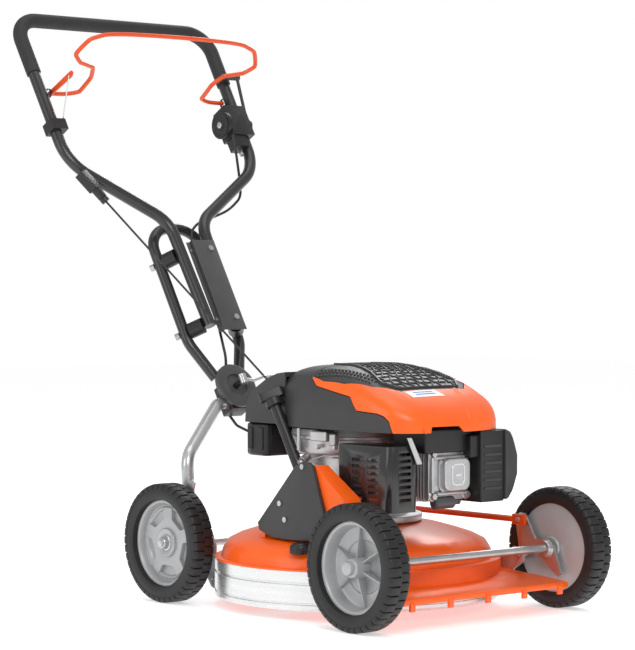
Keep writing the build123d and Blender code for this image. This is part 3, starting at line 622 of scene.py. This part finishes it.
work = bmesh.new()
add_outline(work, [(330, 309), (425, 309), (422, 340), (414, 354), (402, 366), (366, 386), (340, 395),
                   (318, 398), (318, 309)],
            along_x, -110, -6)
cover = raw("tank_cover", work)
work = bmesh.new()
add_outline(work, [(300, 290), (421, 290), (418, 339), (410, 352), (400, 362), (364, 382), (300, 393)],
            along_x, -106.5, -9.5)
cut(cover, raw("cutter", work))
cut(cover, raw("cutter", hood_skin(0.5, HOOD_BASE - 8)))
cut_piece(cover, DARK, (), 6.5, 4)

work = bmesh.new()
add_outline(work, [(-98, 373), (54, 373), (62, 381), (62, 432), (54, 440), (-90, 440), (-102, 428),
                   (-106, 412), (-106, 381)],
            along_z, 251, 308)
piece("tank_body", to_mesh("tank_body", work), "chassis", BLACK, (), bevel=9, segments=4)
work = bmesh.new()
for y in (384, 412):
    add_box(work, -108.4, -104, y - 3, y + 9, 262, 301)
piece("tank_ribs", to_mesh("tank_ribs", work), "chassis", BLACK, (), bevel=2.6, segments=3)
work = bmesh.new()
add_cylinder(work, at(34, 412, 305), at(34, 412, 329), 17)
piece("tank_neck", to_mesh("tank_neck", work), "chassis", BLACK, ("fuel_tank",))

# the deck, tower and small parts with rounded edges
soften("side_tower", "chassis", ORANGE, 3.5, 3)
soften("side_cover", "chassis", DARK, 2.2, 3)
soften("deck_shell", "chassis", ORANGE, 1.2, 2)
soften("axle_brackets", "chassis", SILVER, 0.6, 2)
soften("crankcase", "chassis", ALUMINIUM, 1.2, 2)
soften("cylinder_head", "chassis", ALUMINIUM, 0.8, 2)
soften("carburettor", "chassis", ALUMINIUM, 1.2, 2)
soften("filter_base", "chassis", BLACK, 2.5, 3)
soften("filter_cover", "chassis", DARK, 2.5, 3)
soften("muffler_guard", "chassis", BLACK_PAINT, 0.5, 2)
soften("joint_block", "handle_block", BLACK, 1.5, 2)
soften("handle_plate", "handle", GREY_PAINT, 0.8, 2)
soften("handle_disc", "handle", GREY_PAINT, 1.2, 2)
soften("height_lever", "rear_carriage", ZINC, 0.8, 2)
soften("front_axle", "front_carriage", ZINC, 0.6, 2)
soften("rear_axle", "rear_carriage", ZINC, 0.6, 2)
soften("height_link", "height_link", ORANGE_PAINT, 1.0, 2)
soften("fuel_cap", "fuel_cap", BLACK, 1.5, 3)
soften("blade", "rotor", ZINC, 0.5, 2)
soften("flywheel", "rotor", IRON, 0.8, 2)
soften("starter_grip", "starter", BLACK, 0.6, 2)
soften("control_box", "handle", BLACK, 3.0, 3)
soften("control_lever", "control_lever", DARK, 0.8, 2)


# ---------------------------------------------------------------- filler cap, rope eye and control face

filler_base, filler_top = at(-113, 243, 178), at(-126, 324, 340)
filler_up = (filler_top - filler_base).normalized()
wing = Vector((0.754, -0.657, 0))
wing = (wing - filler_up * wing.dot(filler_up)).normalized()
wing_side = filler_up.cross(wing)
work = bmesh.new()
add_lathe(work, filler_top, filler_up, [(0.4, 0), (0.4, 14.4), (2, 15.4), (13, 15), (15.5, 12.5), (16, 0)],
          40)
add_cylinder(work, filler_base + (filler_top - filler_base) * 0.4, filler_top + filler_up * 0.001, 2.5)
low, high = [], []
for a, b in rounded_outline(-22, 22, -7.5, 7.5, 6.5):
    low.append(filler_top + filler_up * 0.014 + wing * (a / 1000) + wing_side * (b / 1000))
    high.append(filler_top + filler_up * 0.029 + wing * (a / 1000) + wing_side * (b / 1000))
add_prism(work, low, high)
piece("filler_cap", to_mesh("filler_cap", work), "dipstick", BLACK, ("dipstick",),
      bevel=1.6, segments=3)

rope_along = Vector((0.475361, -0.476399, -0.739646))
eye = at(20.44, 506.71, 365.13)
work = bmesh.new()
add_ring(work, eye - rope_along * 0.003, rope_along, [(0, 6.2), (6, 6.2), (6, 2.3), (0, 2.3)], 32)
add_tube(work, [at(-14, 419, 345), at(-6, 448, 350), at(8, 482, 357), at(17, 501, 360)], 2.6, 14)
piece("rope_eye", to_mesh("rope_eye", work), "chassis", BLACK)

work = bmesh.new()
face_on = on_handle(178, 556, 28)
add_lathe(work, face_on, (-1, 0, 0), [(-2, 0), (-2, 24), (1.2, 24), (1.2, 20.5), (0.4, 20), (0.4, 10),
                                      (1.4, 9.5), (1.4, 0)], 64)
piece("control_face", to_mesh("control_face", work), "handle", BLACK)
work = bmesh.new()
add_lathe(work, face_on, (-1, 0, 0), [(0, 0), (0, 6.4), (3.2, 6.2), (4, 4.6), (4.2, 0)], 32)
add_cylinder(work, on_handle(202, 501, 30), on_handle(198, 484, 33), 4.2)
piece("control_screw", to_mesh("control_screw", work), "handle", ZINC)

work = bmesh.new()
add_box(work, -62, 96, 22, 100, 272, 312)
add_box(work, 30, 92, 10, 60, 262, 300)
piece("intake_baffle", to_mesh("intake_baffle", work), "chassis", BLACK, (), bevel=4,
      segments=3)


# ---------------------------------------------------------------- rope, cable and wire that cross a joint

def dense(path, step=5.0):
    """The same path with a point every few millimetres."""
    made = [path[0]]
    for a, b in zip(path, path[1:]):
        count = max(1, int((b - a).length * 1000 / step))
        made += [a.lerp(b, (k + 1) / count) for k in range(count)]
    return made


def bending(name, path, radius, material, replaces=()):
    """A cord between two bodies, made as one tube along its path."""
    work = bmesh.new()
    add_tube(work, dense(path), radius, 14)
    mesh = to_mesh(name, work)
    mesh.materials.append(material)
    for face in mesh.polygons:
        face.use_smooth = True
    made = bpy.data.objects.new(name, mesh)
    bpy.context.scene.collection.objects.link(made)
    if replaces:
        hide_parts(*replaces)
    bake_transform(made)


rope_start = at(0, 527.19, 396.93)
rope_points = [rope_start, at(24.719, 502.421, 358.47), at(6, 462, 364), at(3, 391, 364)]
bending("rope_bend", rounded_path(rope_points, [8, 20]), 1.9, ROPE,
        ("rope_lower",))
cable_points = [
    on_handle(0, -3.2, -40.1), on_handle(0, -30, -42), at(6, 590, 290), at(24, 552, 272), at(54, 508, 270),
    at(80, 462, 274), at(88, 410, 280), at(94, 366, 284), at(98, 326, 286),
]
bending("cable_bend", rounded_path(cable_points, [28, 16, 40, 60, 50, 60, 60]), 2.5, BLACK,
        ("cable_lower",))


def eased(points, reach):
    """A path whose corners are cut again and again until it bends smoothly."""
    for turn in range(4):
        made = [points[0]]
        for i in range(len(points) - 1):
            a, b = points[i], points[i + 1]
            step = 0.25 if turn else min(0.4, reach / 1000 / (b - a).length)
            if i:
                made.append(a.lerp(b, step))
            if i < len(points) - 2:
                made.append(a.lerp(b, 1 - step))
        points = made + [points[-1]]
    return points


bail_half = [(205, 608, 28), (146, 608, 28), (142, 607, 54), (142, 614, 103), (170, 612, 118),
             (206, 613, 126),
             (213, 622, 156), (170, 638, 186)]
bail_points = [on_handle(-u, v, w) for u, v, w in bail_half]
bail_points += [on_handle(u, v, w) for u, v, w in reversed(bail_half)]
bail_ear = [(612, 30), (603, 30), (596, 100), (600, 108), (606, 106), (607, 98)]
work = bmesh.new()
add_tube(work, eased(bail_points, 26), 4.0, 24)
add_prism(work, [on_handle(-204, v, w) for v, w in bail_ear], [on_handle(-201, v, w) for v, w in bail_ear])
piece("bail_loop", to_mesh("bail_loop", work), "bail", ORANGE_PAINT, ("bail",))
wire_top, wire_foot = on_handle(-205, 601, 98), on_handle(-207, 542, 44)
bending("bail_wire", [wire_foot, wire_top], 1.1, BRIGHT)


# ---------------------------------------------------------------- hood details

def hood_height(x, y):
    """The hood's height over a plan point."""
    reach = math.hypot(x, y - HOOD_MIDDLE)
    dx, dy = edge_point(math.atan2(y - HOOD_MIDDLE, x))
    rho = min(1.0, reach / math.hypot(dx, dy))
    rise = max(0.0, 1 - rho ** HOOD_ROUND) ** (1 / HOOD_ROUND)
    return HOOD_BASE + (lookup(hood_tops, y) - HOOD_BASE) * rise


def hood_normal(x, y):
    """The hood's outward direction over a plan point."""
    across = hood_height(x + 1, y) - hood_height(x - 1, y)
    ahead = hood_height(x, y + 1) - hood_height(x, y - 1)
    return Vector((-across / 2, -ahead / 2, 1)).normalized()


work = bmesh.new()
for side in (-1, 1):
    for row in range(3):
        for index in range(17):
            t = (index + 0.5 * (row % 2)) / 17
            x = side * ((114 - 7.5 * row) + t * (-18 - 3 * row))
            y = 236 - 124 * t
            normal = hood_normal(x, y)
            start = at(x, y, hood_height(x, y) - 0.4)
            add_lathe(work, start, normal, [(0, 0), (0, 2.5), (1.0, 2.3), (1.8, 1.5), (2.1, 0)], 10)
piece("side_studs", to_mesh("side_studs", work), "chassis", DARK)


def add_rib(work, points, width, height):
    """A raised rib over the hood through plan points."""
    rows = []
    for i, (x, y) in enumerate(points):
        ahead = points[min(i + 1, len(points) - 1)]
        behind = points[max(i - 1, 0)]
        run = Vector((ahead[0] - behind[0], ahead[1] - behind[1], 0)).normalized()
        cross = Vector((run.y, -run.x, 0)) * (width / 2000)
        base = at(x, y, hood_height(x, y) - 0.6)
        top = at(x, y, hood_height(x, y) + height)
        rows.append([base - cross, top - cross * 0.7, top + cross * 0.7, base + cross])
    made = add_grid(work, rows, close_columns=True)
    work.faces.new(made[0][::-1])
    work.faces.new(made[-1])


LATTICE_FRONT, LATTICE_BACK = 80, 268


def lattice_half(y):
    """Half the lattice's width at a place along the hood."""
    return lookup([(80, 66), (106, 84), (150, 66), (200, 52), (268, 42)], y)


work = bmesh.new()
rows = []
for i in range(25):
    y = LATTICE_FRONT + (LATTICE_BACK - LATTICE_FRONT) * i / 24
    half = lattice_half(y)
    rows.append([at(half * (j / 8 - 1), y, hood_height(half * (j / 8 - 1), y) + 0.35) for j in range(17)])
add_grid(work, rows)
piece("lattice_floor", to_mesh("lattice_floor", work), "chassis", BLACK)

work = bmesh.new()
ROWS = 13
for i in range(ROWS + 1):
    y = LATTICE_FRONT + (LATTICE_BACK - LATTICE_FRONT) * i / ROWS
    half = lattice_half(y)
    add_rib(work, [(half * (j / 6 - 1), y) for j in range(13)], 2.6, 2.2)
for i in range(ROWS):
    y0 = LATTICE_FRONT + (LATTICE_BACK - LATTICE_FRONT) * i / ROWS
    y1 = LATTICE_FRONT + (LATTICE_BACK - LATTICE_FRONT) * (i + 1) / ROWS
    for j in range(-4, 5):
        share = (j + (0.5 if i % 2 else 0.0)) / 4.5
        if abs(share) <= 1:
            lean = 0.04 if (i + j) % 2 else -0.04
            near, far = lattice_half(y0), lattice_half(y1)
            middle = (share * near * 0.5 + share * far * 0.5, (y0 + y1) / 2)
            add_rib(work, [((share - lean) * near, y0), middle, ((share + lean) * far, y1)], 2.4, 2.0)
for side in (-1, 1):
    edge = [LATTICE_FRONT + (LATTICE_BACK - LATTICE_FRONT) * i / 24 for i in range(25)]
    add_rib(work, [(side * lattice_half(y), y) for y in edge], 4.0, 3.0)
piece("lattice_ribs", to_mesh("lattice_ribs", work), "chassis", DARK)

# the two creases in the front panel, and the blank label with its bars
work = bmesh.new()
add_rib(work, [(-76, 74), (-71, 52), (-74, 34), (-77, 18), (-74, 8)], 7, 1.4)
piece("crease_right", to_mesh("crease_right", work), "chassis", ORANGE)
work = bmesh.new()
add_rib(work, [(50, 72), (46, 56), (36, 34), (26, 18), (20, 6)], 8, 2.2)
piece("crease_left", to_mesh("crease_left", work), "chassis", ORANGE)
work = bmesh.new()
rows = []
for i in range(7):
    t = i / 6
    left, right = (-66 + 4 * t, 68 - 17 * t), (2 + 8 * t, 68 - 18 * t)
    row = []
    for j in range(9):
        x = left[0] + (right[0] - left[0]) * j / 8
        y = left[1] + (right[1] - left[1]) * j / 8
        row.append(at(x, y, hood_height(x, y) + 1.7))
    rows.append(row)
add_grid(work, rows)
piece("blank_label", to_mesh("blank_label", work), "chassis", LABEL)
work = bmesh.new()
for line in range(2):
    rows = []
    for i in range(3):
        t = 0.18 + 0.32 * line + 0.09 * i
        x0, x1 = -52 + 4 * t, -10 + 6 * t
        y = 68 - 17.5 * t
        across = [x0 + (x1 - x0) * j / 6 for j in range(7)]
        rows.append([at(x, y, hood_height(x, y) + 1.9) for x in across])
    add_grid(work, rows)
piece("label_bars", to_mesh("label_bars", work), "chassis", LABEL_INK)


# ---------------------------------------------------------------- engine details

work = bmesh.new()
add_outline(work, rounded_outline(-22, 36, 209, 263, 13), along_y, 31.5, 17)
piece("rocker_cover", to_mesh("rocker_cover", work), "chassis", ALUMINIUM, ("valve_cover",),
      bevel=3.2, segments=4)
work = bmesh.new()
add_outline(work, rounded_outline(-25, 39, 206, 266, 14), along_y, 31.9, 28.5)
piece("rocker_flange", to_mesh("rocker_flange", work), "chassis", ALUMINIUM, (), bevel=0.8)
work = bmesh.new()
outer = rounded_outline(-8, 22, 218, 254, 9)
inner = rounded_outline(-5.6, 19.6, 220.4, 251.6, 7)
rows = [[at(x, 17.2, z) for x, z in outer], [at(x, 16, z) for x, z in outer],
        [at(x, 16, z) for x, z in inner],
        [at(x, 17.2, z) for x, z in inner]]
add_grid(work, rows, close_columns=True)
add_outline(work, rounded_outline(1, 13, 233, 237, 1.6), along_y, 17.2, 16)
piece("rocker_emblem", to_mesh("rocker_emblem", work), "chassis", BRIGHT)

work = bmesh.new()
for x in (-38, 38):
    for z in (201, 270):
        add_hex(work, at(x, 31.8, z), at(x, 24.5, z), 6.2)
        add_cylinder(work, at(x, 31.9, z), at(x, 30.4, z), 8.4)
piece("head_studs", to_mesh("head_studs", work), "chassis", ZINC, ("head_bolts",))
work = bmesh.new()
add_cylinder(work, at(-38, 28, 264), at(30, 28, 264), 3.4)
add_cylinder(work, at(-40, 29, 207), at(-40, 29, 265), 3.2)
add_cylinder(work, at(-30, 28, 205), at(38, 28, 205), 3.2)
piece("head_bars", to_mesh("head_bars", work), "chassis", ALUMINIUM)

work = bmesh.new()
add_prism(work, [at(-112, 12, 301), at(-102, 12, 301), at(-77, 13, 257), at(-89, 13, 257)],
          [at(-112, 14, 301), at(-102, 14, 301), at(-77, 15, 257), at(-89, 15, 257)])
piece("heat_shield", to_mesh("heat_shield", work), "chassis", ALUMINIUM, (), bevel=0.6)

work = bmesh.new()
add_lathe(work, at(-34, 34, 190), (1, 0, 0), [(0, 0), (0, 7), (3, 10.5), (42, 10.5), (45, 7), (45, 0)], 32)
add_lathe(work, at(12, 40, 190), (1, 0, 0), [(0, 0), (0, 6), (18, 6), (18, 0)], 24)
piece("breather_can", to_mesh("breather_can", work), "chassis", GREY_PAINT)

work = bmesh.new()
add_lathe(work, at(0, 258, 262), (0, 0, 1),
          [(0, 24), (0, 106), (2, 110), (8, 112), (24, 112), (26, 115), (30, 115), (31, 112), (41, 110),
           (41, 106), (5, 104), (5, 24)], 96)
piece("fan_housing", to_mesh("fan_housing", work), "chassis", ALUMINIUM, ("blower_housing",))

work = bmesh.new()
add_box(work, -126, -104, 196, 236, 286, 303)
add_box(work, -124, -112, 176, 190, 280, 300)
piece("housing_lugs", to_mesh("housing_lugs", work), "chassis", ALUMINIUM, (), bevel=3,
      segments=3)
work = bmesh.new()
add_cylinder(work, at(-122, 268, 268), at(-122, 268, 306), 3.4)
add_cylinder(work, at(-120, 262, 250), at(-106, 262, 258), 7.5, 18)
add_hex(work, at(-121, 262, 249), at(-126, 262, 246), 6)
for x, y, z in ((-118, 180, 279), (-116, 226, 277), (-112, 150, 282)):
    add_hex(work, at(x, y, z + 3), at(x, y, z - 5), 4.6)
piece("governor_parts", to_mesh("governor_parts", work), "chassis", ZINC)


def coil_path(start, end, radius, turns, steps=14):
    """Points of a coil spring between two places."""
    side, up, along = frame_of(end - start)
    made = []
    for i in range(turns * steps + 1):
        t = i / (turns * steps)
        angle = 2 * math.pi * turns * t
        around = side * math.cos(angle) + up * math.sin(angle)
        made.append(start + (end - start) * t + around * (radius / 1000))
    return made


work = bmesh.new()
add_tube(work, coil_path(at(-118, 236, 246), at(-116, 200, 240), 3.6, 9), 0.8, 8)
add_tube(work, coil_path(at(-112, 190, 262), at(-110, 166, 262), 3.0, 7), 0.7, 8)
add_tube(work, [at(-118, 244, 252), at(-117, 210, 262), at(-114, 170, 262), at(-108, 150, 270)], 1.2, 10)
add_tube(work, [at(44, 30, 272), at(58, 22, 262), at(66, 20, 246)], 1.1, 10)
piece("engine_springs", to_mesh("engine_springs", work), "chassis", ZINC)

work = bmesh.new()
for z in (208, 222, 236, 250, 264, 278):
    add_box(work, 54, 94, 2.6, 4.2, z, z + 5)
piece("filter_slats", to_mesh("filter_slats", work), "chassis", DARK, (), bevel=0.8)

work = bmesh.new()
add_lathe(work, at(-205, 168, 109), (0, 0, 1), [(0, 0), (0, 17), (12, 17), (14, 15.5), (15, 13), (17, 12),
                                                (17, 0)], 40)
piece("wash_port", to_mesh("wash_port", work), "chassis", BLACK)


# ---------------------------------------------------------------- stage, light and camera

floor_mesh = bpy.data.meshes.new("floor")
floor_mesh.from_pydata([(-9, -9, 0), (9, -9, 0), (9, 9, 0), (-9, 9, 0)], [], [(0, 1, 2, 3)])
floor = bpy.data.objects.new("floor", floor_mesh)
bpy.context.scene.collection.objects.link(floor)
floor_paint = surface("pale floor", (0.86, 0.86, 0.86), (0.88, 0.88, 0.88), 0.7, grain=40, bump=0.0)
floor_shader = floor_paint.node_tree.nodes["Principled BSDF"]
floor_shader.inputs["Emission Color"].default_value = (1, 1, 1, 1)
floor_shader.inputs["Emission Strength"].default_value = 0.5
floor_mesh.materials.append(floor_paint)

world = bpy.data.worlds.new("studio")
bpy.context.scene.world = world
world.use_nodes = True
sky = world.node_tree
ambient = sky.nodes["Background"]
ambient.inputs["Color"].default_value = (1.0, 1.0, 1.0, 1)
ambient.inputs["Strength"].default_value = 0.55
# what the camera sees behind the floor is plain white, brighter than the light that the sky gives
backdrop = node(sky, "ShaderNodeBackground", Color=(1, 1, 1, 1), Strength=1.0)
seen = sky.nodes.new("ShaderNodeMixShader")
rays = sky.nodes.new("ShaderNodeLightPath")
sky.links.new(rays.outputs["Is Camera Ray"], seen.inputs["Fac"])
sky.links.new(ambient.outputs["Background"], seen.inputs[1])
sky.links.new(backdrop.outputs["Background"], seen.inputs[2])
sky.links.new(seen.outputs["Shader"], sky.nodes["World Output"].inputs["Surface"])


def soft_light(name, place, target, size, power):
    """A square soft box aimed at a point."""
    data = bpy.data.lights.new(name, "AREA")
    data.size = size
    data.energy = power
    lamp = bpy.data.objects.new(name, data)
    lamp.location = place
    lamp.rotation_mode = "QUATERNION"
    lamp.rotation_quaternion = (Vector(target) - Vector(place)).to_track_quat("-Z", "Y")
    bpy.context.scene.collection.objects.link(lamp)


soft_light("key", (-1.6, -2.6, 2.6), (0, 0, 0.3), 1.5, 42)
soft_light("fill", (-2.8, 0.6, 1.4), (0, 0, 0.3), 1.4, 12)
soft_light("rim", (2.2, 1.6, 2.4), (0, 0, 0.4), 1.2, 30)
soft_light("top", (0, 0, 3.2), (0, 0, 0), 2.0, 18)

camera_data = bpy.data.cameras.new("camera")
camera_data.lens = 137.98
camera_data.sensor_width = 36
camera_data.clip_end = 50
camera = bpy.data.objects.new("camera", camera_data)
camera.location = at(-2847.55, -2908.19, 567.29)
azimuth, elevation = math.radians(-41.063), math.radians(-1.209)
level = math.cos(elevation)
forward = Vector((-math.sin(azimuth) * level, math.cos(azimuth) * level, math.sin(elevation)))
camera.rotation_mode = "QUATERNION"
camera.rotation_quaternion = forward.to_track_quat("-Z", "Y")
bpy.context.scene.collection.objects.link(camera)
bpy.context.scene.camera = camera
bpy.context.scene.view_settings.view_transform = "Standard"
